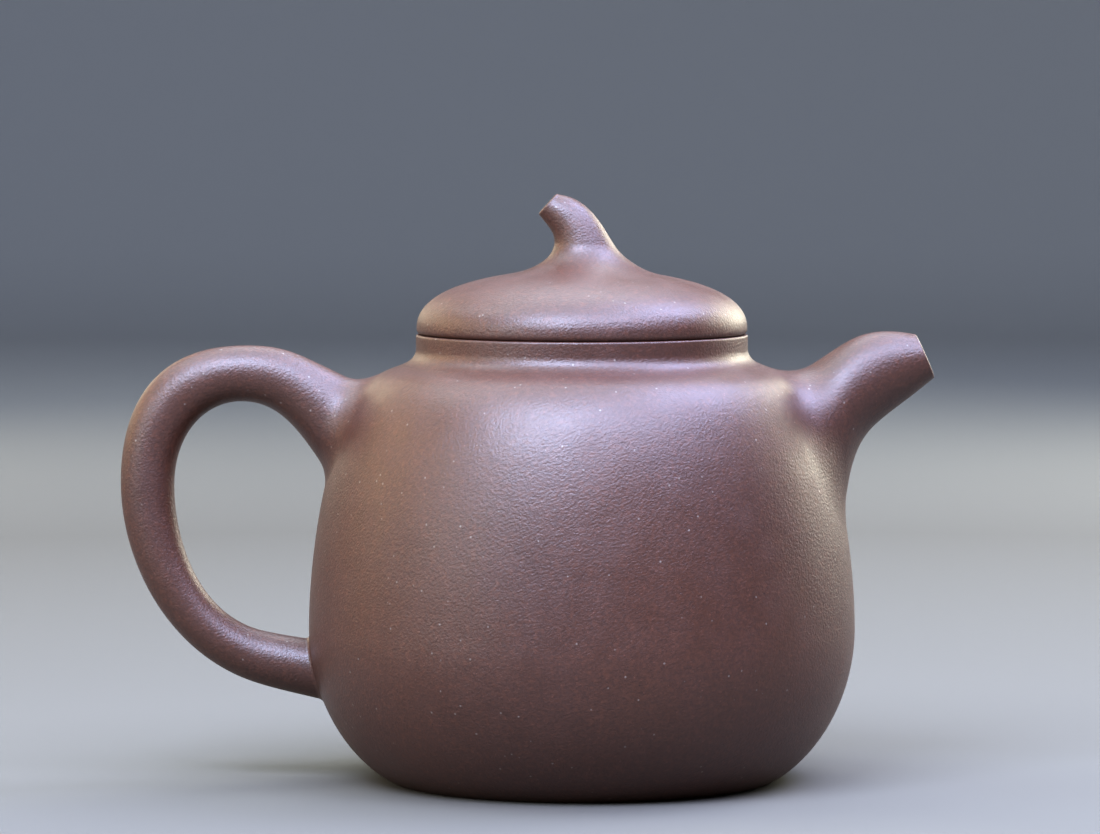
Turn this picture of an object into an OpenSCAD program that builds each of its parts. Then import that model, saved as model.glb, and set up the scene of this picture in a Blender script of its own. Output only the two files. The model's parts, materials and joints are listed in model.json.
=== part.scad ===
// Side-handled clay teapot of about 300 ml: a low-bellied pot built from a paddled wall strip,
// a base disc and a shoulder disc, with a luted neck, spout, ball strainer and handle, and a
// lift-off lid built from a domed disc, a seat ring, a flange and a crooked stem knob.
// Origin: on the pot's axis in the plane of the table. +Z up, spout towards +X, handle towards -X.

/* [Pot body] */
// Diameter at the belly
belly_d = 91; // [88:0.5:94]
// Height of the belly above the table
belly_z = 25.5; // [24:0.5:27]
// Diameter of the resting face under the pot
foot_d = 63.4; // [60:0.2:66]
// Height at which the shoulder turns up into the neck
shoulder_z = 67.8; // [67.4:0.1:68.2]
// Diameter at that turn
shoulder_d = 67; // [65.5:0.5:68]
// Thickness of the clay wall
wall = 3; // [2.6:0.1:3.2]
// Diameter of the base disc inside the foot of the wall
base_d = 59; // [56:0.5:59.4]
// How far the middle of the base is pressed in
base_press = 1.4; // [0.6:0.1:1.8]

/* [Neck and mouth] */
// Outer diameter of the neck
neck_d = 55.2; // [54.6:0.1:56]
// Height of the rim, where the lid sits
rim_z = 74.4; // [74:0.1:75]
// Inner diameter of the mouth
mouth_d = 47.6; // [46:0.1:48]
// Radius that softens the rim, outside and inside
rim_edge_r = 0.4; // [0.3:0.1:0.7]

/* [Lid] */
// Outer diameter of the lid
lid_d = 55; // [54.6:0.1:56]
// Radius that softens the lid's lower edge
lid_edge_r = 0.9; // [0.4:0.1:1]
// Thickness of the flat seat ring
seat_t = 2.2; // [2:0.1:2.6]
// Rise of the dome above the rim
dome_h = 11.1; // [10.6:0.1:11.6]
// Thickness of the dome
dome_t = 2.6; // [2.2:0.1:3]
// Radial gap between the lid's flange and the mouth
flange_gap = 0.3; // [0.2:0.05:0.5]
// Depth of the flange below the rim
flange_h = 9; // [7:0.5:10]
// Thickness of the flange
flange_t = 2.7; // [2.2:0.1:3]
// Diameter of the vent hole
vent_d = 1.6; // [1.2:0.1:2]
// Distance of the vent hole from the axis
vent_r = 13.5; // [13:0.1:15]
// Direction of the vent hole, from the spout's side
vent_az = 125; // [90:5:150]

/* [Spout and strainer] */
// Diameter of the water hole through the wall
port_d = 11.6; // [10:0.2:12]
// Upward slope of the water hole, in degrees
port_slope = 20; // [16:1:24]
// Height at which the water hole leaves the wall
port_z = 55.5; // [55:0.5:56]
// Outer radius of the ball strainer
strainer_r = 8; // [7.8:0.1:8.2]
// Thickness of the ball strainer
strainer_t = 1.5; // [1.2:0.1:1.6]
// Diameter of each hole in the strainer
strainer_hole_d = 1.5; // [1:0.1:1.7]
// Thickness of clay at the spout's lip
lip_t = 1.35; // [1.1:0.05:1.5]
// Thickness of clay at the spout's root
root_t = 4.1; // [4:0.1:4.3]

/* [Handle] */
// Half width of the handle's section, across the pot
handle_w = 4.5; // [4:0.1:5]
// Half width of its flared upper root
handle_root_w = 7; // [6:0.1:7.5]

/* [Hidden] */

purple_clay = "#5a3f42";
round_fn = 120;
// how deep a luted root is pressed into the surface that it joins
lute = 0.4;

belly_r = belly_d / 2;
foot_r = foot_d / 2;
base_r = base_d / 2;
shoulder_r = shoulder_d / 2;
neck_r = neck_d / 2;
mouth_r = mouth_d / 2;
lid_r = lid_d / 2;
neck_foot_z = rim_z - 2.4;
dome_z = rim_z + dome_h;
flange_r = mouth_r - flange_gap;
seat_hole_r = flange_r - flange_t;

// where the wall ends and the shoulder disc begins, and where the neck begins, along their curves
wall_end = 0.86;
neck_start = 0.5;

// ---- outlines, as [radius, height] cubic curves -----------------------------------------------

// from the resting face out to the belly
lower_curve = [[foot_r, 0], [foot_r + 7.5, 3.6], [belly_r, belly_z - 11.7], [belly_r, belly_z]];
// from the belly up to the shoulder
upper_curve = [[belly_r, belly_z], [belly_r - 0.1, belly_z + 14.5],
               [shoulder_r + 8.1, shoulder_z - 4.6], [shoulder_r, shoulder_z]];
// the hollow turn from the shoulder into the neck
neck_curve = [[shoulder_r, shoulder_z], [shoulder_r - 2.5, shoulder_z + 1.4],
              [neck_r + 0.1, shoulder_z + 1.5], [neck_r, neck_foot_z]];
// the lid's edge and dome
dome_curve = [[lid_r, rim_z + 1], [lid_r, rim_z + 4.8], [lid_r - 3.5, dome_z - 1.1], [0, dome_z]];

// ---- outlines in the plane y = 0, as [x, z] cubic curves --------------------------------------

// upper and lower edges of the spout, root to lip
spout_top = [[34.4, 67], [43.6, 71.9], [44.9, 76.3], [55.2, rim_z]];
spout_under = [[43.9, 43.2], [45, 59.7], [47.5, 57.8], [58.45, 67]];
spout_half_w = [10.8, 8.2, 6.8, 4];

// outside and inside edges of the handle, from the shoulder round to the belly
handle_outer = [
    [[-36.7, 65.6], [-46.5, 70.6], [-48, 72.5], [-56, 72.5]],
    [[-56, 72.5], [-69, 72.5], [-76.8, 65], [-76.8, 49.5]],
    [[-76.8, 49.5], [-76.8, 36.5], [-69, 20.4], [-53.5, 15.9]],
    [[-53.5, 15.9], [-50.5, 15], [-47, 14.2], [-43.7, 13.2]]
];
handle_inner = [
    [[-43.5, 50.7], [-45.2, 56.1], [-49.4, 63.2], [-56.5, 63.2]],
    [[-56.5, 63.2], [-63, 63.2], [-67.9, 57.5], [-67.9, 49]],
    [[-67.9, 49], [-67.9, 40], [-64, 27.6], [-53.5, 24.9]],
    [[-53.5, 24.9], [-51, 24.3], [-48, 23.8], [-45, 23.4]]
];
handle_half_w = [
    [handle_root_w, handle_w + 0.8, handle_w + 0.1, handle_w],
    [handle_w, handle_w, handle_w, handle_w],
    [handle_w, handle_w, handle_w - 0.2, handle_w - 0.1],
    [handle_w - 0.1, handle_w, handle_w + 0.2, handle_w + 0.4]
];
handle_rings = [14, 13, 14, 5];

// back and hooked edges of the knob, root to cut end
knob_back = [
    [[12, 84.9], [9.5, 85.4], [7, 86.8], [5.4, 89.2]],
    [[5.4, 89.2], [3.8, 91.6], [1.5, 97], [-3.8, 97.6]]
];
knob_hook = [
    [[-10.8, 84.6], [-7.8, 85.6], [-5.1, 86.6], [-4.6, 89.3]],
    [[-4.6, 89.3], [-4.35, 91], [-5.3, 92], [-7, 94.1]]
];
knob_half_w = [[11.2, 8.2, 6, 4.85], [4.85, 4.2, 3.6, 2.4]];
knob_rings = [9, 9];
// lean of the knob's cut end, in degrees off level
knob_cut = 48;

// how far the spout's lip bulges past its edges
lip_bulge = 0.45;

// ---- curve functions --------------------------------------------------------------------------

function cubic(p, t) =
    pow(1 - t, 3) * p[0] + 3 * pow(1 - t, 2) * t * p[1] + 3 * (1 - t) * t * t * p[2] + t * t * t * p[3];

function cubic_run(p, n, from = 0, to = 1) = [for (i = [0 : n]) cubic(p, from + (to - from) * i / n)];

function without_last(list) = [for (i = [0 : len(list) - 2]) list[i]];

function reversed(list) = [for (i = [len(list) - 1 : -1 : 0]) list[i]];

// a run of points moved sideways, to the left of its direction of travel
function beside(points, d) = [
    for (i = [0 : len(points) - 1])
        let (run = points[min(i + 1, len(points) - 1)] - points[max(i - 1, 0)])
            points[i] + d * [-run[1], run[0]] / norm(run)
];

// parameter at which one coordinate of a curve, rising along it, reaches a value
function reach(p, axis, value, lo = 0, hi = 1, steps = 24) =
    let (mid = (lo + hi) / 2)
    steps == 0 ? mid
    : cubic(p, mid)[axis] < value ? reach(p, axis, value, mid, hi, steps - 1)
    : reach(p, axis, value, lo, mid, steps - 1);

// outer radius of the pot at a height, and height of the lid's dome at a radius
function pot_r(z) =
    z < belly_z ? cubic(lower_curve, reach(lower_curve, 1, z))[0]
    : z < shoulder_z ? cubic(upper_curve, reach(upper_curve, 1, z))[0]
    : cubic(neck_curve, reach(neck_curve, 1, z))[0];

function dome_height(r) = cubic(reversed(dome_curve), reach(reversed(dome_curve), 0, r))[1];

// an arc as [x, y] points
function arc(centre, r, from, to, n) = [
    for (i = [0 : n])
        let (a = from + (to - from) * i / n)
            centre + r * [cos(a), sin(a)]
];

// ---- lofts between two edges ------------------------------------------------------------------

// an oval ring whose ends are the points a and b of the plane y = 0, w wide each way in y
function ring(a, b, w, n) = [
    for (i = [0 : n - 1])
        let (c = (a + b) / 2, h = (a - b) / 2, t = 360 * i / n)
            [c[0] + h[0] * cos(t), w * sin(t), c[1] + h[1] * cos(t)]
];

// the same ring pressed onto the pot's surface, on the side of +x or -x
function ring_on_pot(points, side) = [
    for (p = points)
        [side * sqrt(pow(pot_r(p[2]) - lute, 2) - p[1] * p[1]), p[1], p[2]]
];

// and pressed onto the lid's dome
function ring_on_dome(points) = [for (p = points) [p[0], p[1], dome_height(norm([p[0], p[1]])) - lute]];

// a ring moved by the difference between its root as it lies on a surface and its flat root
function fitted(points, root, flat_root, share) = points + share * (root - flat_root);

// side walls of a loft, n points to a ring; loop joins the last ring to the first
function side_faces(rings, n, loop = false) = [
    for (k = [0 : rings - (loop ? 1 : 2)], i = [0 : n - 1])
        let (a = k * n, b = ((k + 1) % rings) * n, j = (i + 1) % n)
            each [[a + i, a + j, b + i], [a + j, b + j, b + i]]
];

// a closed loft: its two ends are fans about a middle point
module closed_loft(rings, first_mid, last_mid) {
    n = len(rings[0]);
    count = len(rings);
    points = concat([for (r = rings) each r], [first_mid, last_mid]);
    polyhedron(points, concat(
        side_faces(count, n),
        [for (i = [0 : n - 1]) [(i + 1) % n, i, count * n]],
        [for (i = [0 : n - 1]) [(count - 1) * n + i, (count - 1) * n + (i + 1) % n, count * n + 1]]
    ));
}

// rings between two lists of edge curves, the first ring of each later curve left out
function edge_rings(outer, inner, half_w, counts, n) = [
    for (s = [0 : len(counts) - 1], k = [(s == 0 ? 0 : 1) : counts[s]])
        let (t = k / counts[s])
            ring(cubic(outer[s], t), cubic(inner[s], t), cubic(half_w[s], t), n)
];

// a share that fades smoothly from 1 to 0 as x goes from 0 to 1
function fading(x) = pow(max(0, 1 - x), 2);

function mid_of(points) = [for (p = points) 1] * points / len(points);

// ---- pot --------------------------------------------------------------------------------------

wall_outer = concat(without_last(cubic_run(lower_curve, 16)), cubic_run(upper_curve, 22, 0, wall_end));
wall_inner = beside(wall_outer, wall);
shoulder_outer = concat(
    without_last(cubic_run(upper_curve, 6, wall_end, 1)),
    cubic_run(neck_curve, 6, 0, neck_start)
);
wall_top = wall_outer[len(wall_outer) - 1];
wall_top_inner = wall_inner[len(wall_inner) - 1];
neck_foot = cubic(neck_curve, neck_start);
shoulder_inner_z = neck_foot[1] - wall;

module body_wall() {
    color(purple_clay)
    difference() {
        rotate_extrude($fn = round_fn)
            polygon(concat(wall_outer, reversed(wall_inner), [[base_r, wall_inner[0][1]], [base_r, 0]]));
        water_port(port_d / 2);
    }
}

// a straight hole from the cavity out through the wall
module water_port(r) {
    translate([pot_r(port_z), 0, port_z])
        rotate([0, 90 - port_slope, 0])
            translate([0, 0, -12])
                cylinder(r = r, h = 24, $fn = 48);
}

module base_disc() {
    ring_in = base_r - 3.5;
    dish_r = ring_in - 4;
    top_z = wall_inner[0][1];
    color(purple_clay)
        rotate_extrude($fn = round_fn)
            polygon(concat(
                [[0, base_press]],
                [for (i = [0 : 8]) [dish_r + (ring_in - dish_r) * i / 8, base_press * (1 + cos(180 * i / 8)) / 2]],
                [[base_r, 0], [base_r, top_z]],
                [for (i = [0 : 6]) [(base_r - 2) * (1 - i / 6), top_z + (base_press + 0.2) * sin(90 * i / 6)]]
            ));
}

module shoulder_disc() {
    inner = cubic_run([wall_top_inner, wall_top_inner + [-3.5, 2], [mouth_r + 5, shoulder_inner_z],
                       [mouth_r, shoulder_inner_z]], 8);
    color(purple_clay)
        rotate_extrude($fn = round_fn)
            polygon(concat(shoulder_outer, [[mouth_r, neck_foot[1]]], reversed(inner)));
}

module neck_collar() {
    color(purple_clay)
        rotate_extrude($fn = round_fn)
            polygon(concat(
                cubic_run(neck_curve, 6, neck_start, 1),
                arc([neck_r - rim_edge_r, rim_z - rim_edge_r], rim_edge_r, 0, 90, 5),
                arc([mouth_r + rim_edge_r, rim_z - rim_edge_r], rim_edge_r, 90, 180, 3),
                [[mouth_r, neck_foot[1]]]
            ));
}

module spout() {
    n = 32;
    rings = 18;
    blend = 0.45;
    flat_root = ring(spout_top[0], spout_under[0], spout_half_w[0], n);
    root = ring_on_pot(flat_root, 1);
    bore_flat = bore_ring(0, n);
    bore_root = ring_on_pot(bore_flat, 1);
    outer = [
        for (k = [0 : rings])
            let (t = k / rings, share = fading(t / blend))
                fitted(ring(cubic(spout_top, t), cubic(spout_under, t), cubic(spout_half_w, t), n),
                       root, flat_root, share)
    ];
    bore = [
        for (k = [rings : -2 : 0])
            let (t = k / rings, share = fading(t / blend))
                fitted(bore_ring(t, n), bore_root, bore_flat, share)
    ];
    all = concat(outer, [lip_ring(n)], bore);
    color(purple_clay)
        polyhedron([for (r = all) each r], side_faces(len(all), n, true));
}

// the spout's bore, inside its outer skin by the clay's thickness
function bore_ring(t, n) =
    let (
        a = cubic(spout_top, t),
        b = cubic(spout_under, t),
        skin = root_t + (lip_t - root_t) * (1 - pow(1 - t, 2)),
        cut = skin * (a - b) / norm(a - b)
    )
    ring(a - cut, b + cut, cubic(spout_half_w, t) - skin, n);

// the crown of the lip, halfway across its clay
function lip_ring(n) =
    let (
        a = spout_top[3],
        b = spout_under[3],
        along = [a[1] - b[1], b[0] - a[0]] / norm(a - b),
        cut = lip_t / 2 * (a - b) / norm(a - b)
    )
    ring(a - cut + lip_bulge * along, b + cut + lip_bulge * along, spout_half_w[3] - lip_t / 2, n);

strainer_centre = [pot_r(port_z), port_z] - (wall - 1.5) * [cos(port_slope), sin(port_slope)];
// how far the rim lies from the ball's centre, and the holes: how many, at what angle off the axis
strainer_rim = 1.2;
strainer_rows = [[1, 0], [6, 20], [12, 40], [16, 60]];

// a drilled cap of a hollow ball, its rim sunk into the inside of the wall and its axis on the port's
module strainer() {
    color(purple_clay)
    translate([strainer_centre[0], 0, strainer_centre[1]])
        rotate([0, -90 - port_slope, 0])
            difference() {
                sphere(r = strainer_r, $fn = 64);
                sphere(r = strainer_r - strainer_t, $fn = 64);
                translate([0, 0, -2 * strainer_r])
                    cylinder(r = 2 * strainer_r, h = 2 * strainer_r + strainer_rim, $fn = 64);
                for (row = strainer_rows, i = [0 : row[0] - 1])
                    rotate([0, 0, 360 * i / row[0]])
                        rotate([0, row[1], 0])
                            translate([0, 0, strainer_r - strainer_t - 0.8])
                                cylinder(d = strainer_hole_d, h = strainer_t + 1.6, $fn = 16);
            }
}

module handle() {
    n = 24;
    flat_rings = edge_rings(handle_outer, handle_inner, handle_half_w, handle_rings, n);
    last = len(flat_rings) - 1;
    upper_blend = 8;
    lower_blend = 4;
    upper_root = ring_on_pot(flat_rings[0], -1);
    lower_root = ring_on_pot(flat_rings[last], -1);
    rings = [
        for (k = [0 : last])
            let (
                above = fading(k / upper_blend),
                below = fading((last - k) / lower_blend)
            )
            fitted(fitted(flat_rings[k], upper_root, flat_rings[0], above),
                   lower_root, flat_rings[last], below)
    ];
    color(purple_clay)
        closed_loft(rings, mid_of(rings[0]), mid_of(rings[last]));
}

// ---- lid --------------------------------------------------------------------------------------

seat_top_z = rim_z + seat_t;
dome_start = reach(dome_curve, 1, seat_top_z);

module lid_dome() {
    outer = cubic_run(dome_curve, 22, dome_start, 1);
    inner = [for (p = beside(outer, dome_t)) if (p[1] > seat_top_z && p[0] > 0.5) p];
    top = dome_z - dome_t;
    color(purple_clay)
    difference() {
        rotate_extrude($fn = round_fn)
            polygon(concat(outer, [[0, top]], reversed(inner), [[inner[0][0] + 0.1, seat_top_z]]));
        rotate([0, 0, vent_az])
            translate([vent_r, 0, dome_z - 8])
                cylinder(d = vent_d, h = 10, $fn = 24);
    }
}

module lid_seat_ring() {
    color(purple_clay)
        rotate_extrude($fn = round_fn)
            polygon(concat(
                arc([lid_r - lid_edge_r, rim_z + lid_edge_r], lid_edge_r, -90, 0, 5),
                cubic_run(dome_curve, 3, 0.02, dome_start),
                [[seat_hole_r, seat_top_z], [seat_hole_r, rim_z]]
            ));
}

module lid_flange() {
    foot = rim_z - flange_h;
    in_r = 0.7;
    out_r = 0.9;
    color(purple_clay)
        rotate_extrude($fn = round_fn)
            polygon(concat(
                [[seat_hole_r, rim_z]],
                arc([seat_hole_r + in_r, foot + in_r], in_r, 180, 270, 4),
                arc([flange_r - out_r, foot + out_r], out_r, -90, 0, 4),
                [[flange_r, rim_z]]
            ));
}

module lid_knob() {
    n = 28;
    flat_rings = edge_rings(knob_back, knob_hook, knob_half_w, knob_rings, n);
    last = len(flat_rings) - 1;
    root = ring_on_dome(flat_rings[0]);
    blend = 5;
    rings = [
        for (k = [0 : last])
            fitted(flat_rings[k], root, flat_rings[0], fading(k / blend))
    ];
    tip = rings[last];
    tip_mid = mid_of(tip);
    ahead = [-sin(knob_cut), 0, cos(knob_cut)];
    cap = [for (p = tip) tip_mid + 0.8 * (p - tip_mid) + 0.5 * ahead];
    foot_mid = [mid_of(root)[0], 0, dome_height(0.6) - lute];
    color(purple_clay)
        closed_loft(concat(rings, [cap]), foot_mid, tip_mid + 0.6 * ahead);
}

body_wall();
base_disc();
shoulder_disc();
neck_collar();
spout();
strainer();
handle();
lid_dome();
lid_seat_ring();
lid_flange();
lid_knob();
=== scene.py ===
import json
import math

import bmesh
import bpy
import numpy as np
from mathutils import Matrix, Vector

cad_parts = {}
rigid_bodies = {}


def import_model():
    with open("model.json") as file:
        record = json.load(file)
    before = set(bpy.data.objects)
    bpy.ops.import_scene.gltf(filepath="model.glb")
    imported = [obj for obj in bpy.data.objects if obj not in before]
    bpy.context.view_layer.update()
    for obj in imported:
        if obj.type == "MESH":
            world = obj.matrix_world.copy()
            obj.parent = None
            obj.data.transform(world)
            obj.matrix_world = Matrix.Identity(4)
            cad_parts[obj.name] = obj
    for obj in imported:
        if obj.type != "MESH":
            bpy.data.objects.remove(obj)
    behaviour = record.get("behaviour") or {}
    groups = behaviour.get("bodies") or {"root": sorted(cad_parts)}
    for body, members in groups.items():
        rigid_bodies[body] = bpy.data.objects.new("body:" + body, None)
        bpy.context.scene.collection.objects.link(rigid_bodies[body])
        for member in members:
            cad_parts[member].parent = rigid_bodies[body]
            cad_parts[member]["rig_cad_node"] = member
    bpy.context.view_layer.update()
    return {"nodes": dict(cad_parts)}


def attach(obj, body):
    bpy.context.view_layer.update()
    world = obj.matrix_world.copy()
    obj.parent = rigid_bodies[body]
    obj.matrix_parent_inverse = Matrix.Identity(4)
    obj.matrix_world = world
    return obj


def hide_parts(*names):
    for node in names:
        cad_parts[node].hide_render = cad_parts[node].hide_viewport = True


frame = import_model()

MM = 0.001
SPARE_KINDS = ("MESH", "LIGHT", "CAMERA")  # of what the start-up file may hold
POT, LID = "pot", "lid"
BURNISHED, BARE = "burnished_clay", "bare_clay"

# how fine the meshes are
SEGMENTS = 216             # facets round a turned piece
LONGEST_STEP = 1.0 * MM    # between two rings of a turned piece
LARGEST_TURN = 6.0         # degrees between two rings of a turned piece
SPOUT_COLUMNS, HANDLE_COLUMNS, KNOB_COLUMNS = 96, 72, 84
HOLE_COLUMNS = 96          # facets round the port and the vent
LOFT_STEP = 0.6 * MM       # between two rings of the spout, handle and knob
KNOB_STEP = 0.5 * LOFT_STEP
BORE_ROWS = 24
LIP_ROWS, TIP_ROWS, FOOT_ROWS = 13, 7, 7   # round the spout's lip, the knob's tip and the foot
MERGE = 0.0001 * MM        # between points of a drawn mesh that are one

# how the CAD nodes' meshes are read
WELD = 0.002 * MM          # between corners of the CAD mesh that are one
GRID = 0.005 * MM          # between corners that share a circle
SLACK = 0.01 * MM          # between runs that both reach an outline's widest point
CIRCLE_CORNERS = 24        # at least, on a circle of a turned node
SPOUT_SIDES = 32           # of the CAD spout's rings
PROBE_REACH = 14 * MM      # along a loft, in search of the skin that it comes out of
PROBES = 141

# what tells a corner of an outline from a smooth stretch
CORNER = 24.0              # degrees
FINE_CORNER = 35.0         # degrees, between two short steps
SHORT_STEP = 0.3 * MM
LONG_STEP = 3.0            # times the shorter of its neighbours, for a stretch that is straight

# a luted root: its skirt ends a little outside its fillet, just under the skin that it joins
SKIRT = 0.3 * MM
SINK = 0.07 * MM
FILLET_ROWS = 12
FILLET_PULL = 0.6          # how far the fillet's curve is drawn towards the crease

# fillets at the roots, as [at the top or back edge, at the sides, at the opposite edge]
SPOUT_FILLET = [4.2 * MM, 8.0 * MM, 3.0 * MM]
HANDLE_TOP_FILLET = [4.0 * MM, 4.5 * MM, 2.4 * MM]
HANDLE_FOOT_FILLET = [0.8 * MM, 0.8 * MM, 0.8 * MM]
KNOB_FILLET = [2.4 * MM, 6.0 * MM, 2.4 * MM]

# the skins: steps of their tables and of runs cut from them, and how close a run on them lies
TABLE_STEP, RUN_STEP, ON_SKIN = 0.25 * MM, 0.05 * MM, 0.02 * MM
BATCH = 4000               # points placed at a time

# rounded edges
LIP_BULGE = 0.35 * MM      # of the spout's lip, past its rim
TIP_EDGE = 0.4 * MM        # radius, round the knob's cut end
TIP_DISH = 0.12 * MM       # depth of the cut end's hollow
FOOT_EDGE = 0.5 * MM
ON_TABLE = 0.001 * MM      # height of the points that stand on the table

# sharp edges, in degrees, and how near a mesh lies to the skin to take its normals
SHARP, STRAINER_SHARP = 40.0, 35.0
OVER_SKIN, UNDER_SKIN = 0.001 * MM, 0.1 * MM
SAME_WAY = 0.8             # cosine of the angle between a face and the skin

# holes cut through turned pieces: half the length of the cutter
PORT_REACH = 10 * MM
VENT_REACH = 6 * MM

# the clay: colours in linear light, sizes of its patches, and specks as (spacing, radius, strength)
PURPLE, WARM_PURPLE = (0.086, 0.034, 0.023, 1.0), (0.096, 0.035, 0.0195, 1.0)
DUSTY_PURPLE, DUSTY_WARM = (0.1, 0.045, 0.036, 1.0), (0.11, 0.046, 0.033, 1.0)
BROAD, CLOUDS, DARK_MOTTLE, WARM_MOTTLE = 34 * MM, 5 * MM, 0.5 * MM, 0.8 * MM
PALE_SPECKS = (1.4 * MM, 0.18 * MM, 0.5)
SAND_SPECKS = (2.6 * MM, 0.23 * MM, 0.8)
DARK_SPECKS = (3.4 * MM, 0.17 * MM, 0.8)
SAND = (0.24, 0.19, 0.16, 1.0)
ASIDE = (0.031, 0.017, 0.023)              # where the second set of patterns is read
WRINKLE_RISE = math.radians(24)
WRINKLE_STRETCH = (0.5, 0.85, 1.0)
WRINKLES, PIMPLES, PIMPLE_SHARE = 0.32 * MM, 0.45 * MM, 0.6
SKIN_RELIEF = 0.12 * MM
DENTS, DENT_RELIEF = 9 * MM, 0.12 * MM

# the studio: a floor that sweeps up into a round wall
FLOOR_RADIUS, SWEEP_RADIUS, WALL_TOP = 1.5, 0.7, 2.2
STUDIO_COLUMNS = 96
PAPER_NEAR, PAPER_FAR = 0.5, 1.7           # metres from the pot, between which the paper is painted lighter: painted light where less of the lamps' light falls
# the paper's colour near the pot and far from it; the far colour is painted light, lighter where less
# of the lamps' light falls
NEAR_COLOUR, FAR_PAINTED_LIGHT = (0.145, 0.133, 0.115, 1.0), (0.5, 0.49, 0.46, 1.0)
LIGHT_TARGET = Vector((0.0, 0.0, 0.045))
LIGHT_DISTANCE = 0.9
LIGHTS = (
    # name, azimuth, elevation, size, power, colour
    ("key", -28, 46, (0.45, 0.45), 15.2, (0.62, 0.735, 1.0)),
    ("front", 32, 52, (0.9, 0.45), 15.4, (0.62, 0.7, 1.0)),
    ("top", 0, 88, (0.6, 0.6), 4.8, (0.64, 0.79, 1.0)),
    ("left", -58, 18, (0.6, 0.4), 3.1, (0.9, 0.95, 0.92)),
    ("left_side", -105, 18, (0.5, 0.4), 2.2, (1.0, 0.79, 0.5)),
    ("left_edge", -145, 18, (0.5, 0.4), 1.7, (1.0, 0.93, 0.7)),
    ("right_edge", 136, 18, (0.6, 0.4), 6.4, (1.0, 1.0, 0.84)),
    ("back_left", -110, 55, (0.5, 0.45), 3.6, (0.78, 0.94, 1.0)),
    ("back_right", 110, 55, (0.5, 0.45), 10.5, (0.58, 0.67, 1.0)),
    ("back", 180, 55, (0.5, 0.45), 3.6, (0.8, 0.9, 1.0)),
)
AIR_COLOUR, AIR_STRENGTH = (0.93, 0.95, 1.0, 1.0), 0.06
VIEW_GAMMA = 0.77

# the camera
LENS, SENSOR_WIDTH = 187.9, 36.0           # millimetres
CAMERA_PLACE = (-0.0053, -0.954, 0.121)
CAMERA_DIP = 3.625                         # degrees below level


# ---- curves and small vector helpers ----------------------------------------------------------

def unit(v):
    """Vectors of length one, along the last axis."""
    return v / np.maximum(np.linalg.norm(v, axis=-1, keepdims=True), 1e-12)


def dot(a, b):
    """Dot products along the last axis, kept as a last axis of one."""
    return (a * b).sum(-1, keepdims=True)


def chord_knots(points):
    """Distance along a run of points, from 0."""
    return np.concatenate([[0.0], np.cumsum(np.linalg.norm(np.diff(points, axis=0), axis=1))])


class Curve:
    """A cubic spline through points, in any number of dimensions, at rising knots."""

    def __init__(self, points, knots=None, closed=False):
        points = np.asarray(points, float)
        self.points = np.vstack([points, points[:1]]) if closed else points
        self.knots = chord_knots(self.points) if knots is None else np.asarray(knots, float)
        h = np.diff(self.knots)
        slope = np.diff(self.points, axis=0) / h[:, None]
        count = len(h) if closed else len(h) + 1
        a = np.eye(count)
        b = np.zeros((count, self.points.shape[1]))
        for i in range(0 if closed else 1, count if closed else count - 1):
            a[i, i - 1] = h[i - 1]
            a[i, i] = 2 * (h[i - 1] + h[i])
            a[i, (i + 1) % count] = h[i]
            b[i] = 6 * (slope[i] - slope[i - 1])
        bend = np.linalg.solve(a, b)
        self.bend = np.vstack([bend, bend[:1]]) if closed else bend

    def _cell(self, where):
        where = np.asarray(where, float)
        k = np.clip(np.searchsorted(self.knots, where, side="right") - 1, 0, len(self.knots) - 2)
        h = self.knots[k + 1] - self.knots[k]
        return k, h[:, None], ((where - self.knots[k]) / h)[:, None]

    def at(self, where):
        """Points at the parameters `where`."""
        k, h, u = self._cell(where)
        v = 1 - u
        straight = v * self.points[k] + u * self.points[k + 1]
        return straight + h * h / 6 * ((v ** 3 - v) * self.bend[k] + (u ** 3 - u) * self.bend[k + 1])

    def slope(self, where):
        """Rate of change of the points with the parameter."""
        k, h, u = self._cell(where)
        v = 1 - u
        chord = (self.points[k + 1] - self.points[k]) / h
        return chord + h / 6 * ((1 - 3 * v * v) * self.bend[k] + (3 * u * u - 1) * self.bend[k + 1])


def bezier(p0, p1, p2, p3, t):
    """A cubic through arrays of points, for one parameter t."""
    return (1 - t) ** 3 * p0 + 3 * (1 - t) ** 2 * t * p1 + 3 * (1 - t) * t * t * p2 + t ** 3 * p3


def spaced(points):
    """A dense run of points thinned to steps of at most LONGEST_STEP and LARGEST_TURN."""
    steps = np.diff(points, axis=0)
    turn = np.degrees(np.arccos(np.clip((unit(steps[1:]) * unit(steps[:-1])).sum(1), -1, 1)))
    turn = np.concatenate([[0.0], turn])
    shares = np.linalg.norm(steps, axis=1) / LONGEST_STEP + turn / LARGEST_TURN
    cost = np.concatenate([[0.0], np.cumsum(shares)])
    wanted = np.linspace(0, cost[-1], int(math.ceil(cost[-1])) + 1)
    return np.column_stack([np.interp(wanted, cost, points[:, i]) for i in range(points.shape[1])])


def steadied(points):
    """A run with points added near the ends of its long straight steps, so that a spline through
    it doesn't swing out there."""
    steps = np.linalg.norm(np.diff(points, axis=0), axis=1)
    made = [points[:1]]
    for i, length in enumerate(steps):
        short = min(steps[max(i - 1, 0):i + 2])
        if length > LONG_STEP * short:
            near = [short * times for times in (1, 2, 4) if short * times < length / 2]
            far = [length - distance for distance in reversed(near)]
            share = np.array(near + far)[:, None] / length
            made.append(points[i] + share * (points[i + 1] - points[i]))
        made.append(points[i + 1:i + 2])
    return np.vstack(made)


def drawn_again(points):
    """A run between two corners as a smooth, evenly fine run."""
    if len(points) < 3:
        return points
    curve = Curve(steadied(points))
    return spaced(curve.at(np.linspace(0, curve.knots[-1], 12 * len(points))))


# ---- reading shapes off the CAD nodes ---------------------------------------------------------

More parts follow.
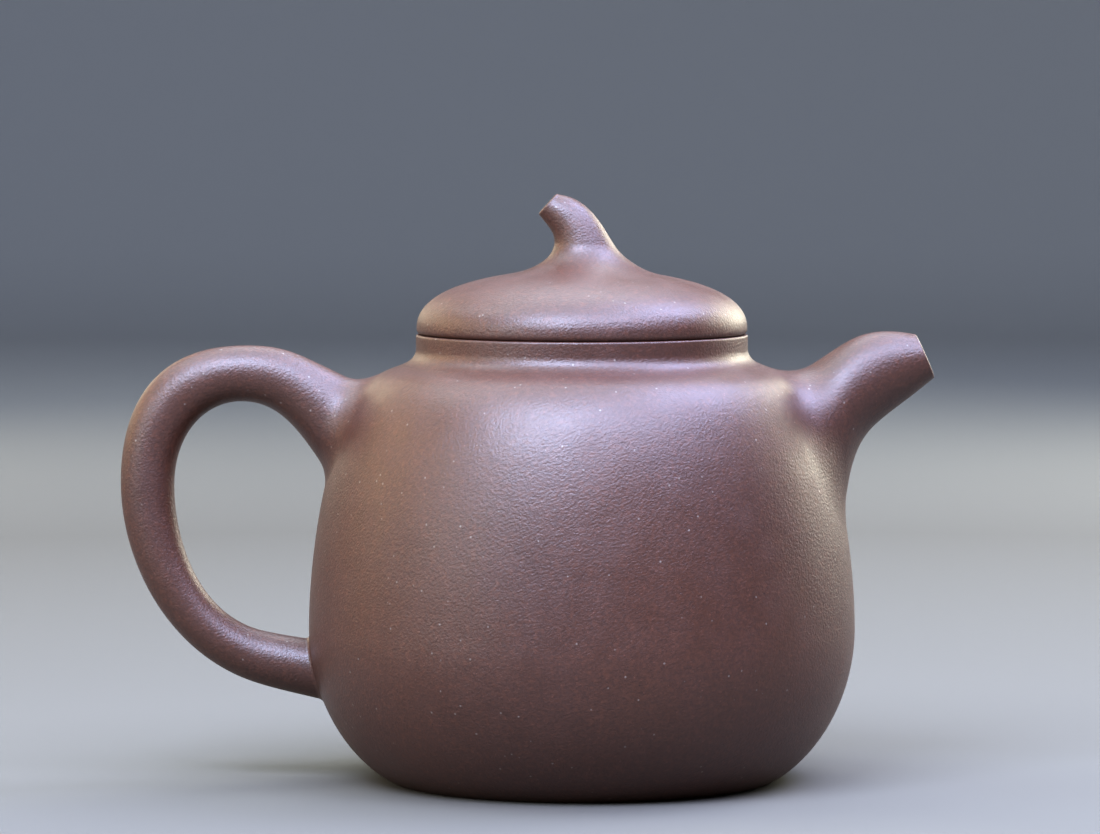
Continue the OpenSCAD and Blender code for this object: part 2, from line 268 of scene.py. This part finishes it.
def welded(node):
    """The CAD node's mesh with its split corners joined again."""
    mesh = bmesh.new()
    mesh.from_mesh(frame["nodes"][node].data)
    bmesh.ops.remove_doubles(mesh, verts=mesh.verts, dist=WELD)
    mesh.normal_update()
    return mesh


def outline(node):
    """A turned node's section: its [radius, height] corners in order, whether it ends on the axis,
    and the faces of a hole drilled through it."""
    mesh = welded(node)
    keys = {v: (round(math.hypot(v.co.x, v.co.y) / GRID), round(v.co.z / GRID)) for v in mesh.verts}
    counts = {}
    for key in keys.values():
        counts[key] = counts.get(key, 0) + 1
    circles = {k for k, c in counts.items() if c >= CIRCLE_CORNERS or k[0] == 0}
    links = {k: {} for k in circles}
    for e in mesh.edges:
        a, b = keys[e.verts[0]], keys[e.verts[1]]
        if a != b and a in circles and b in circles:
            links[a][b] = links[a].get(b, 0) + 1
            links[b][a] = links[b].get(a, 0) + 1
    hole = [f for f in mesh.faces if all(keys[v] not in circles for v in f.verts)]
    hole = [(np.array(f.calc_center_median()), np.array(f.normal), np.array([v.co for v in f.verts]))
            for f in hole]
    ends = [k for k in circles if sum(1 for c in links[k].values() if c > 3) == 1]
    at = min(ends) if ends else min(circles)
    chain = [at]
    while True:
        ways = [(c, k) for k, c in links[at].items() if k not in chain and (c > 3 or k[0] == 0)]
        if not ways:
            break
        at = max(ways)[1]
        chain.append(at)
    mesh.free()
    return np.array(chain, float) * GRID, bool(ends), hole


def smooth_runs(points, is_open):
    """An outline cut at its corners. Each run starts where the one before it ends."""
    n = len(points)
    before = points - np.roll(points, 1, axis=0)
    after = np.roll(points, -1, axis=0) - points
    turn = np.degrees(np.arccos(np.clip((unit(before) * unit(after)).sum(1), -1, 1)))
    longer = np.maximum(np.linalg.norm(before, axis=1), np.linalg.norm(after, axis=1))
    corner = turn > np.where(longer < SHORT_STEP, FINE_CORNER, CORNER)
    if is_open:
        marks = [0] + [i for i in range(1, n - 1) if corner[i]] + [n - 1]
        return [points[a:b + 1] for a, b in zip(marks, marks[1:])]
    marks = [i for i in range(n) if corner[i]]
    ends = marks[1:] + [marks[0] + n]
    return [points[np.arange(a, b + 1) % n] for a, b in zip(marks, ends)]


def outer_run(node):
    """The longest smooth run that holds the outline's outermost point."""
    points, is_open, _ = outline(node)
    widest = points[:, 0].max()
    runs = [r for r in smooth_runs(points, is_open) if r[:, 0].max() > widest - SLACK]
    return max(runs, key=lambda r: chord_knots(r)[-1])


def joined(runs):
    """Runs laid end to end as one, each turned round if its far end is the nearer."""
    first, second = runs[0], runs[1]
    far = min(np.linalg.norm(first[0] - e) for e in (second[0], second[-1]))
    near = min(np.linalg.norm(first[-1] - e) for e in (second[0], second[-1]))
    chain = first[::-1] if far < near else first
    for run in runs[1:]:
        turned_round = np.linalg.norm(run[-1] - chain[-1]) < np.linalg.norm(run[0] - chain[-1])
        chain = np.vstack([chain, (run[::-1] if turned_round else run)[1:]])
    return chain


def hole_axis(hole):
    """A drilled hole's middle, direction and radius, from its faces."""
    normals = np.array([f[1] for f in hole])
    corners = np.vstack([f[2] for f in hole])
    middle = corners.mean(0)
    across_a, across_b, along = np.linalg.svd(normals)[2]
    x = (corners - middle) @ across_a
    y = (corners - middle) @ across_b
    system = np.column_stack([x, y, np.ones(len(x))])
    a, b, c = np.linalg.lstsq(system, x * x + y * y, rcond=None)[0]
    centre = middle + across_a * a / 2 + across_b * b / 2
    return centre, along, math.sqrt(c + a * a / 4 + b * b / 4)


class Skin:
    """The outside of a turned body: a curve of [radius, height] turned about the axis."""

    def __init__(self, points):
        self.curve = Curve(steadied(points))
        self.length = self.curve.knots[-1]
        self.table = np.linspace(0, self.length, int(self.length / TABLE_STEP))
        self.spots = self.curve.at(self.table)

    def place(self, flat):
        """Parameter of the curve's nearest point, for [radius, height] points."""
        s = np.empty(len(flat))
        for k in range(0, len(flat), BATCH):
            gaps = ((flat[k:k + BATCH, None] - self.spots) ** 2).sum(2)
            s[k:k + BATCH] = self.table[np.argmin(gaps, axis=1)]
        for _ in range(3):
            run = self.curve.slope(s)
            gap = flat - self.curve.at(s)
            s = np.clip(s + (gap * run).sum(1) / (run * run).sum(1), 0, self.length)
        return s

    def nearest(self, points):
        """How far points (n, 3) lie outside, their feet on the skin, and the way out there."""
        flat = np.column_stack([np.hypot(points[:, 0], points[:, 1]), points[:, 2]])
        s = self.place(flat)
        foot = self.curve.at(s)
        run = unit(self.curve.slope(s))
        out = np.column_stack([run[:, 1], -run[:, 0]])
        around = points[:, :2] / np.maximum(flat[:, :1], 1e-9)
        away = ((flat - foot) * out).sum(1)
        return (away, np.column_stack([foot[:, :1] * around, foot[:, 1]]),
                np.column_stack([out[:, :1] * around, out[:, 1]]))

    def between(self, first, last):
        """The skin's own run between two [radius, height] points."""
        a, b = self.place(np.array([first, last]))
        count = max(8, int(abs(b - a) / RUN_STEP))
        return spaced(self.curve.at(np.linspace(a, b, count)))

    def holds(self, run):
        """Whether a run of an outline lies on the skin."""
        points = np.column_stack([run[:, 0], np.zeros(len(run)), run[:, 1]])
        return len(run) > 2 and np.abs(self.nearest(points)[0]).max() < ON_SKIN


# ---- meshes -----------------------------------------------------------------------------------

def mesh_of_rows(name, rows, loop=False):
    """A closed mesh through rows of points (rows, columns, 3). Each row closes on itself, the last
    row joins the first if loop is set, and a row whose points coincide becomes one vertex."""
    rows = np.asarray(rows)
    count, columns = rows.shape[:2]
    faces = []
    for k in range(count if loop else count - 1):
        a, b = k * columns, (k + 1) % count * columns
        for i in range(columns):
            j = (i + 1) % columns
            faces.append((a + i, a + j, b + j, b + i))
    mesh = bpy.data.meshes.new(name)
    mesh.from_pydata(rows.reshape(-1, 3).tolist(), [], faces)
    work = bmesh.new()
    work.from_mesh(mesh)
    bmesh.ops.remove_doubles(work, verts=work.verts, dist=MERGE)
    bmesh.ops.recalc_face_normals(work, faces=work.faces)
    work.to_mesh(mesh)
    work.free()
    return mesh


def shade(mesh, skin):
    """Smooth shading, sharp past an angle, with the skin's own normals where the mesh lies on it,
    so that pieces that share the skin join without a line."""
    mesh.polygons.foreach_set("use_smooth", [True] * len(mesh.polygons))
    mesh.set_sharp_from_angle(angle=math.radians(SHARP))
    co = np.empty(len(mesh.vertices) * 3)
    mesh.vertices.foreach_get("co", co)
    away, _, out = skin.nearest(co.reshape(-1, 3))
    on_skin = (away < OVER_SKIN) & (away > -UNDER_SKIN)
    corner_vertex = np.empty(len(mesh.loops), int)
    mesh.loops.foreach_get("vertex_index", corner_vertex)
    face_size = np.empty(len(mesh.polygons), int)
    mesh.polygons.foreach_get("loop_total", face_size)
    face_normal = np.empty(len(mesh.polygons) * 3)
    mesh.polygons.foreach_get("normal", face_normal)
    face_normal = np.repeat(face_normal.reshape(-1, 3), face_size, axis=0)
    wanted = out[corner_vertex]
    use = on_skin[corner_vertex] & ((wanted * face_normal).sum(1) > SAME_WAY)
    mesh.normals_split_custom_set(np.where(use[:, None], wanted, 0.0).tolist())


def piece(name, mesh, body, node, slot):
    """Puts a finished mesh in the scene in place of its CAD node."""
    obj = bpy.data.objects.new(name, mesh)
    bpy.context.scene.collection.objects.link(obj)
    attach(obj, body)
    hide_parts(node)
    mesh.materials.append(materials[slot])


def cut_hole(mesh, centre, along, radius, half_length):
    """The mesh with a straight round hole through it."""
    across = unit(np.cross(along, [0.0, 1.0, 0.0]))
    sideways = np.cross(along, across)
    turn = np.linspace(0, 2 * math.pi, HOLE_COLUMNS, endpoint=False)[:, None]
    ring = radius * (np.cos(turn) * across + np.sin(turn) * sideways)
    ends = [centre - half_length * along, centre + half_length * along]
    rows = [np.repeat(ends[0][None], HOLE_COLUMNS, 0), ends[0] + ring,
            ends[1] + ring, np.repeat(ends[1][None], HOLE_COLUMNS, 0)]
    cutter = bpy.data.objects.new("cutter", mesh_of_rows("cutter", rows))
    holder = bpy.data.objects.new("holder", mesh)
    for o in (cutter, holder):
        bpy.context.scene.collection.objects.link(o)
    cut = holder.modifiers.new("cut", "BOOLEAN")
    cut.operation = "DIFFERENCE"
    cut.solver = "EXACT"
    cut.object = cutter
    shaped = holder.evaluated_get(bpy.context.evaluated_depsgraph_get())
    result = bpy.data.meshes.new_from_object(shaped)
    result.name = mesh.name
    for o in (cutter, holder):
        bpy.data.objects.remove(o)
    return result


# ---- turned pieces ----------------------------------------------------------------------------

def turned(name, node, body, slot, skin, hole_reach=0.0, foot_edge=0.0):
    """A turned CAD node drawn again as a fine mesh, with the hole that is drilled through it."""
    points, is_open, hole = outline(node)
    runs = smooth_runs(points, is_open)
    profile = np.vstack([(skin.between(r[0], r[-1]) if skin.holds(r) else drawn_again(r))[:-1]
                         for r in runs] + [runs[-1][-1:]])
    if not is_open:
        profile = profile[:-1]
    profile[:, 1] = np.maximum(profile[:, 1], 0.0)
    if foot_edge:
        profile = edge_rounded(profile, foot_edge)
    turn = np.linspace(0, 2 * math.pi, SEGMENTS, endpoint=False)
    rows = np.stack([profile[:, :1] * np.cos(turn), profile[:, :1] * np.sin(turn),
                     np.repeat(profile[:, 1:], SEGMENTS, 1)], axis=2)
    mesh = mesh_of_rows(name, rows, loop=not is_open)
    if hole:
        centre, along, radius = hole_axis(hole)
        mesh = cut_hole(mesh, centre, along, radius, hole_reach)
    shade(mesh, skin)
    piece(name, mesh, body, node, slot)


def edge_rounded(profile, radius):
    """A closed outline whose outermost corner on the table is rounded."""
    on_table = [i for i in range(len(profile)) if profile[i, 1] < ON_TABLE]
    corner = max(on_table, key=lambda i: profile[i, 0])
    at = profile[corner]
    ways = []
    for step in (-1, 1):
        k = corner
        while np.linalg.norm(profile[(k + step) % len(profile)] - at) < radius:
            k += step
        ways.append((k, at + radius * unit(profile[(k + step) % len(profile)] - at)))
    (before, start), (after, end) = ways
    arc = [bezier(start, start + 0.6 * (at - start), end + 0.6 * (at - end), end, t)
           for t in np.linspace(0, 1, FOOT_ROWS)]
    rolled = np.roll(profile, -after, axis=0)
    keep = len(profile) - (after - before) - 1
    return np.vstack([rolled[1:keep + 1], arc])


# ---- lofted pieces ----------------------------------------------------------------------------

def layers_from(seeds, shut=()):
    """Vertices in layers, each one edge further from the seeds, and none of those shut out."""
    seen = set(seeds) | set(shut)
    layers = [list(seeds)]
    while True:
        after = {e.other_vert(v) for v in layers[-1] for e in v.link_edges} - seen
        if not after:
            return layers
        seen |= after
        layers.append(list(after))


def rings_in_order(layers, lead):
    """Each layer's points in order round it, from the one in the plane y = 0 that follows `lead`."""
    rings = []
    for layer in layers:
        co = np.array([v.co for v in layer])
        centre = co.mean(0)
        on_plane = co[np.argsort(np.abs(co[:, 1]))[:2]]
        lead = on_plane[np.argmin(np.linalg.norm(on_plane - lead, axis=1))]
        reach = np.linalg.norm(lead - centre)
        ahead = (co - centre) @ unit(lead - centre) / reach
        turn = np.arctan2(co[:, 1] / np.abs(co[:, 1]).max(), ahead)
        rings.append(co[np.argsort(np.where(turn < -0.01, turn + 2 * math.pi, turn))])
    return np.array(rings)


class Loft:
    """A smooth tube through rings of points (rings, points, 3), drawn again with more columns."""

    def __init__(self, rings, columns):
        count, points = rings.shape[:2]
        around = Curve(np.moveaxis(rings, 1, 0).reshape(points, -1), np.arange(points + 1), closed=True)
        fine = around.at(np.linspace(0, points, columns, endpoint=False)).reshape(columns, count, 3)
        self.rings = np.moveaxis(fine, 1, 0)
        self.columns = columns
        step = np.linalg.norm(np.diff(self.rings, axis=0), axis=2).mean(1)
        self.knots = np.concatenate([[0.0], np.cumsum(step)])
        self.length = self.knots[-1]
        self.curve = Curve(self.rings.reshape(count, -1), self.knots)

    def row(self, s):
        """The ring at one parameter."""
        return self.curve.at([s]).reshape(self.columns, 3)

    def each(self, s, of="at"):
        """One point for each column, at its own parameter."""
        own = np.arange(self.columns)
        return getattr(self.curve, of)(s).reshape(self.columns, self.columns, 3)[own, own]

    def rows(self, start, end, step):
        """Rings from each column's own start to its own end."""
        count = max(3, int(round((end - start).mean() / step)))
        return [self.each(start + (end - start) * u) for u in np.linspace(0, 1, count + 1)]


def root(loft, skin, sizes):
    """A luted root: rows from the buried end, over the skirt and up the fillet, and the parameter
    at which each column leaves the fillet. sizes are the fillet's at the first column, at the sides
    and at the opposite column."""
    turn = np.linspace(0, 2 * math.pi, loft.columns, endpoint=False)
    top, side, bottom = sizes
    lean, width = (top - bottom) / 2, (top + bottom) / 2 - side
    size = side + lean * np.cos(turn) + width * np.cos(turn) ** 2
    probe = np.linspace(0, PROBE_REACH, PROBES)
    tried = loft.curve.at(probe)
    away = skin.nearest(tried.reshape(-1, 3))[0].reshape(len(probe), loft.columns)
    outside = np.argmax(away > 0, axis=0)
    own = np.arange(loft.columns)
    inner, outer = away[outside - 1, own], away[outside, own]
    s0 = probe[outside - 1] + (probe[1] - probe[0]) * inner / (inner - outer)
    crease = loft.each(s0)
    _, crease, normal = skin.nearest(crease)
    loop = unit(np.roll(crease, -1, axis=0) - np.roll(crease, 1, axis=0))
    away_from = unit(np.cross(loop, normal))
    away_from *= np.sign(dot(away_from, crease - crease.mean(0)).sum())
    _, start, start_normal = skin.nearest(crease + size[:, None] * away_from)
    s1 = s0 + size / np.linalg.norm(loft.each(s0, "slope"), axis=1)
    end = loft.each(s1)
    to_crease = crease - start
    start_way = unit(to_crease - dot(to_crease, start_normal) * start_normal)
    start_pull = start + FILLET_PULL * np.linalg.norm(to_crease, axis=1, keepdims=True) * start_way
    end_pull = end - (FILLET_PULL * np.linalg.norm(end - crease, axis=1, keepdims=True)
                      * unit(loft.each(s1, "slope")))
    fillet = [bezier(start, start_pull, end_pull, end, t) for t in np.linspace(0, 1, FILLET_ROWS)]
    _, hem, hem_normal = skin.nearest(crease + (size[:, None] + SKIRT) * away_from)
    return [loft.row(0), hem - SINK * hem_normal] + fillet, s1


def middle_row(row):
    """A row whose points all lie at the middle of another."""
    return np.repeat(row.mean(0)[None], len(row), axis=0)


def spout(skin):
    """The spout: skin, lip and bore in one loop."""
    mesh = welded("spout")
    co = np.array([v.co for v in mesh.verts])
    deepest = np.argsort(skin.nearest(co)[0])[:2 * SPOUT_SIDES]
    middle = co[deepest].mean(0)
    by_size = deepest[np.argsort(np.linalg.norm(co[deepest] - middle, axis=1))]
    mesh.verts.ensure_lookup_table()
    bore_root = [mesh.verts[i] for i in by_size[:SPOUT_SIDES]]
    outer_root = [mesh.verts[i] for i in by_size[SPOUT_SIDES:]]
    layers = layers_from(outer_root, bore_root)
    over_root = np.array([middle[0], 0.0, co[by_size[SPOUT_SIDES:], 2].max()])
    rings = rings_in_order(layers + [bore_root], over_root)
    mesh.free()
    lip = int(np.argmax([r[:, 0].mean() + r[:, 2].mean() for r in rings]))
    outer = Loft(rings[:lip], SPOUT_COLUMNS)
    bore = Loft(rings[lip + 1:], SPOUT_COLUMNS)
    rows, s1 = root(outer, skin, SPOUT_FILLET)
    rows += outer.rows(s1, np.full(SPOUT_COLUMNS, outer.length), LOFT_STEP)[1:]
    edge, bore_edge = rows[-1], bore.row(0)
    crown, half = (edge + bore_edge) / 2, (edge - bore_edge) / 2
    ahead = unit(np.cross(edge[0] - edge[SPOUT_COLUMNS // 2], [0.0, 1.0, 0.0]))
    ahead *= np.sign(ahead[0])
    for turn in np.linspace(0, math.pi, LIP_ROWS)[1:-1]:
        rows.append(crown + half * math.cos(turn) + ahead * LIP_BULGE * math.sin(turn))
    rows += [bore.row(s) for s in np.linspace(0, bore.length, BORE_ROWS)]
    return mesh_of_rows("pot_spout", rows, loop=True)


def handle(skin):
    """The handle, with a wide fillet at its shoulder root and a tight one at its foot."""
    mesh = welded("handle")
    fans = sorted(mesh.verts, key=lambda v: len(v.link_edges))[-2:]
    layers = layers_from([max(fans, key=lambda v: v.co.z)])[1:-1]
    top = max((v.co for v in layers[0]), key=lambda c: c.z)
    rings = rings_in_order(layers, np.array(top))
    mesh.free()
    down, up = Loft(rings, HANDLE_COLUMNS), Loft(rings[::-1], HANDLE_COLUMNS)
    top_rows, top_s = root(down, skin, HANDLE_TOP_FILLET)
    foot_rows, foot_s = root(up, skin, HANDLE_FOOT_FILLET)
    rows = [middle_row(top_rows[0])] + top_rows
    rows += down.rows(top_s, down.length - foot_s, LOFT_STEP)[1:-1]
    rows += foot_rows[::-1] + [middle_row(foot_rows[0])]
    return mesh_of_rows("pot_handle", rows)


def knob(skin):
    """The lid's stem knob, with its cut tip."""
    mesh = welded("lid_knob")
    fans = sorted(mesh.verts, key=lambda v: len(v.link_edges))[-2:]
    layers = layers_from([min(fans, key=lambda v: v.co.z)])[1:-2]
    back = max((v.co for v in layers[0]), key=lambda c: c.x)
    rings = rings_in_order(layers, np.array(back))
    mesh.free()
    loft = Loft(rings, KNOB_COLUMNS)
    rows, s1 = root(loft, skin, KNOB_FILLET)
    rows = [middle_row(rows[0])] + rows
    rows += loft.rows(s1, np.full(KNOB_COLUMNS, loft.length), KNOB_STEP)[1:]
    edge = rows[-1]
    spokes = edge - edge.mean(0)
    ahead = unit(np.cross(spokes[0], spokes[KNOB_COLUMNS // 4]))
    ahead *= np.sign(ahead @ (loft.row(loft.length) - loft.row(loft.length - MM)).mean(0))
    reach = np.linalg.norm(spokes, axis=1, keepdims=True)
    for turn in np.linspace(0, math.pi / 2, TIP_ROWS)[1:]:
        inset = TIP_EDGE * (1 - math.cos(turn)) / reach
        rows.append(edge.mean(0) + spokes * (1 - inset) + ahead * TIP_EDGE * math.sin(turn))
    for share in (0.8, 0.55, 0.25, 0.0):
        dish = TIP_DISH * (1 - share * share)
        rows.append(edge.mean(0) + share * spokes * (1 - TIP_EDGE / reach) + ahead * (TIP_EDGE - dish))
    return mesh_of_rows("lid_stem", rows)


def strainer():
    """The drilled ball cap, smooth over its ball and sharp round its holes."""
    mesh = bpy.data.meshes.new("pot_strainer")
    work = welded("strainer")
    work.to_mesh(mesh)
    work.free()
    mesh.polygons.foreach_set("use_smooth", [True] * len(mesh.polygons))
    mesh.set_sharp_from_angle(angle=math.radians(STRAINER_SHARP))
    return mesh


# ---- clay -------------------------------------------------------------------------------------

# sockets of the Mix node, which has one set for each kind of data under the same names
MIX_SHARE, MIX_VALUE_A, MIX_VALUE_B, MIX_COLOUR_A, MIX_COLOUR_B = 0, 2, 3, 6, 7
MIX_VALUE_OUT, MIX_COLOUR_OUT = 0, 2


class Tree:
    """A material's node tree, with a short way to add linked nodes."""

    def __init__(self, name):
        self.material = bpy.data.materials.new(name)
        self.material.use_nodes = True
        self.tree = self.material.node_tree
        self.tree.nodes.clear()

    def add(self, kind, inputs=None, **settings):
        made = self.tree.nodes.new("ShaderNode" + kind)
        for key, value in settings.items():
            setattr(made, key, value)
        for key, value in (inputs or {}).items():
            if isinstance(value, bpy.types.NodeSocket):
                self.tree.links.new(value, made.inputs[key])
            else:
                made.inputs[key].default_value = value
        return made

    def noise(self, vector, size, detail=2.0, roughness=0.5):
        """Noise whose blobs are about `size` across, from 0 to 1."""
        return self.add("TexNoise", {"Vector": vector, "Scale": 1 / size, "Detail": detail,
                                     "Roughness": roughness}).outputs["Fac"]

    def specks(self, vector, spacing, radius, strength):
        """A mask of round specks in space, about `spacing` apart."""
        cells = self.add("TexVoronoi", {"Vector": vector, "Scale": 1 / spacing})
        edge = radius / spacing
        return self.ramp(cells.outputs["Distance"], 0.5 * edge, edge, strength, 0.0)

    def bump(self, height, distance, below=None):
        """The surface's direction with a height map on it, over another bump if one is given."""
        inputs = {"Strength": 1.0, "Distance": distance, "Height": height}
        if below is not None:
            inputs["Normal"] = below
        return self.add("Bump", inputs).outputs[0]

    def ramp(self, value, low, high, to_low=0.0, to_high=1.0):
        """Value carried from the range low..high to another, and held there past its ends."""
        return self.add("MapRange", {"Value": value, "From Min": low, "From Max": high,
                                     "To Min": to_low, "To Max": to_high}).outputs["Result"]

    def mix(self, share, a, b):
        """Colour a turned into b by a share."""
        inputs = {MIX_SHARE: share, MIX_COLOUR_A: a, MIX_COLOUR_B: b}
        return self.add("Mix", inputs, data_type="RGBA").outputs[MIX_COLOUR_OUT]

    def blend(self, share, a, b):
        """Value a turned into b by a share."""
        inputs = {MIX_SHARE: share, MIX_VALUE_A: a, MIX_VALUE_B: b}
        return self.add("Mix", inputs, data_type="FLOAT").outputs[MIX_VALUE_OUT]


def shaded(colour, share):
    """A colour made lighter or darker."""
    return tuple(min(1.0, share * c) for c in colour[:3]) + (1.0,)


def clay(name, colour, warm, rough, grain):
    """Purple sand clay: mottled, with pale and dark sand grains, and a skin of short wrinkles that
    run up to the right. rough is the middle roughness, and grain scales the wrinkles' height."""
    t = Tree(name)
    here = t.add("TexCoord").outputs["Object"]
    aside = t.add("VectorMath", {0: here, 1: ASIDE}, operation="ADD").outputs[0]
    cloud = t.noise(here, CLOUDS, 3.0)
    dark_grain = t.noise(here, DARK_MOTTLE, 3.0, 0.6)
    warm_grain = t.noise(aside, WARM_MOTTLE)
    base = t.mix(t.ramp(t.noise(here, BROAD), 0.35, 0.65), colour, warm)
    base = t.mix(t.ramp(cloud, 0.4, 0.7, 0.0, 0.3), base, shaded(colour, 1.3))
    base = t.mix(t.ramp(dark_grain, 0.42, 0.63, 0.0, 0.5), base, shaded(colour, 0.62))
    base = t.mix(t.ramp(warm_grain, 0.5, 0.72, 0.0, 0.5), base, shaded(warm, 1.5))
    base = t.mix(t.specks(here, *PALE_SPECKS), base, shaded(colour, 2.4))
    base = t.mix(t.specks(here, *SAND_SPECKS), base, SAND)
    base = t.mix(t.specks(aside, *DARK_SPECKS), base, shaded(colour, 0.25))

    risen = t.add("Mapping", {"Vector": here, "Rotation": (0.0, WRINKLE_RISE, 0.0)}).outputs[0]
    stretched = t.add("Mapping", {"Vector": risen, "Scale": WRINKLE_STRETCH}).outputs[0]
    wrinkles = t.noise(stretched, WRINKLES)
    pimples = t.noise(here, PIMPLES, 3.0, 0.6)
    normal = t.bump(t.blend(PIMPLE_SHARE, wrinkles, pimples), SKIN_RELIEF * grain)
    normal = t.bump(t.noise(here, DENTS, 1.0), DENT_RELIEF, normal)
    gloss = t.ramp(cloud, 0.3, 0.7, rough - 0.03, rough + 0.04)
    shader = t.add("BsdfPrincipled", {"Base Color": base, "Roughness": gloss, "Normal": normal,
                                      "IOR": 1.5, "Specular IOR Level": 1.0})
    t.add("OutputMaterial", {"Surface": shader.outputs[0]})
    return t.material


# ---- stage ------------------------------------------------------------------------------------

def paper(name, near, far):
    """Matt paper with painted light: its colour is lighter away from the pot, where less of the lamps'
    light falls.
    """
    t = Tree(name)
    here = t.add("TexCoord").outputs["Object"]
    distance = t.add("VectorMath", {0: here}, operation="LENGTH").outputs["Value"]
    # painted light: the paper's colour lightens with distance from the pot, where less of the lamps'
    # light falls
    colour = t.mix(t.ramp(distance, PAPER_NEAR, PAPER_FAR), near, far)
    shader = t.add("BsdfPrincipled", {"Base Color": colour, "Roughness": 0.9})
    t.add("OutputMaterial", {"Surface": shader.outputs[0]})
    return t.material


def studio_bowl():
    """A pale floor that sweeps up into a round wall on every side."""
    profile = [(0.0, 0.0), (0.3, 0.0), (0.8, 0.0)]
    profile += [(FLOOR_RADIUS + SWEEP_RADIUS * math.sin(a), SWEEP_RADIUS - SWEEP_RADIUS * math.cos(a))
                for a in np.linspace(0, math.pi / 2, 16)]
    profile.append((FLOOR_RADIUS + SWEEP_RADIUS, WALL_TOP))
    turn = np.linspace(0, 2 * math.pi, STUDIO_COLUMNS, endpoint=False)
    rows = [np.column_stack([r * np.cos(turn), r * np.sin(turn), np.full(STUDIO_COLUMNS, z)])
            for r, z in profile]
    mesh = mesh_of_rows("studio", rows)
    mesh.flip_normals()
    mesh.polygons.foreach_set("use_smooth", [True] * len(mesh.polygons))
    mesh.materials.append(paper("studio_paper", NEAR_COLOUR, FAR_PAINTED_LIGHT))
    obj = bpy.data.objects.new("studio", mesh)
    bpy.context.scene.collection.objects.link(obj)


def soft_light(name, azimuth, elevation, size, power, colour):
    """A soft light aimed at the pot's middle. Azimuth 0 is in front, and 90 on the spout's side."""
    data = bpy.data.lights.new(name, "AREA")
    data.shape = "RECTANGLE"
    data.size, data.size_y = size
    data.energy = power
    data.color = colour
    obj = bpy.data.objects.new(name, data)
    bpy.context.scene.collection.objects.link(obj)
    turn, rise = math.radians(azimuth), math.radians(elevation)
    level = math.cos(rise)
    way = Vector((math.sin(turn) * level, -math.cos(turn) * level, math.sin(rise)))
    obj.location = LIGHT_TARGET + LIGHT_DISTANCE * way
    obj.rotation_euler = way.to_track_quat("Z", "Y").to_euler()
    obj.visible_camera = False


# ---- the scene --------------------------------------------------------------------------------

for spare in [o for o in bpy.data.objects if o.type in SPARE_KINDS and "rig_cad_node" not in o]:
    bpy.data.objects.remove(spare)

materials = {
    BURNISHED: clay("zisha_burnished", PURPLE, WARM_PURPLE, rough=0.44, grain=1.0),
    BARE: clay("zisha_bare", DUSTY_PURPLE, DUSTY_WARM, rough=0.62, grain=1.5),
}

pot_skin = Skin(joined([outer_run(n) for n in ("body_wall", "shoulder_disc", "neck_collar")]))
lid_skin = Skin(joined([outer_run(n) for n in ("lid_seat_ring", "lid_dome")]))

turned("pot_wall", "body_wall", POT, BURNISHED, pot_skin, hole_reach=PORT_REACH, foot_edge=FOOT_EDGE)
turned("pot_base", "base_disc", POT, BARE, pot_skin)
turned("pot_shoulder", "shoulder_disc", POT, BURNISHED, pot_skin)
turned("pot_neck", "neck_collar", POT, BURNISHED, pot_skin)
turned("lid_top", "lid_dome", LID, BURNISHED, lid_skin, hole_reach=VENT_REACH)
turned("lid_seat", "lid_seat_ring", LID, BURNISHED, lid_skin)
turned("lid_rim", "lid_flange", LID, BARE, lid_skin)

for name, make, body, node, skin in (
    ("pot_spout", spout, POT, "spout", pot_skin),
    ("pot_handle", handle, POT, "handle", pot_skin),
    ("lid_stem", knob, LID, "lid_knob", lid_skin),
):
    made = make(skin)
    shade(made, skin)
    piece(name, made, body, node, BURNISHED)
piece("pot_strainer", strainer(), POT, "strainer", BARE)

studio_bowl()
for light in LIGHTS:
    soft_light(*light)

world = bpy.data.worlds.new("air")
world.use_nodes = True
background = world.node_tree.nodes["Background"]
background.inputs["Color"].default_value = AIR_COLOUR
background.inputs["Strength"].default_value = AIR_STRENGTH
bpy.context.scene.world = world
bpy.context.scene.view_settings.view_transform = "Standard"
bpy.context.scene.view_settings.gamma = VIEW_GAMMA

camera = bpy.data.objects.new("camera", bpy.data.cameras.new("camera"))
bpy.context.scene.collection.objects.link(camera)
camera.data.sensor_width = SENSOR_WIDTH
camera.data.lens = LENS
camera.location = CAMERA_PLACE
camera.rotation_euler = (math.radians(90 - CAMERA_DIP), 0.0, 0.0)
bpy.context.scene.camera = camera
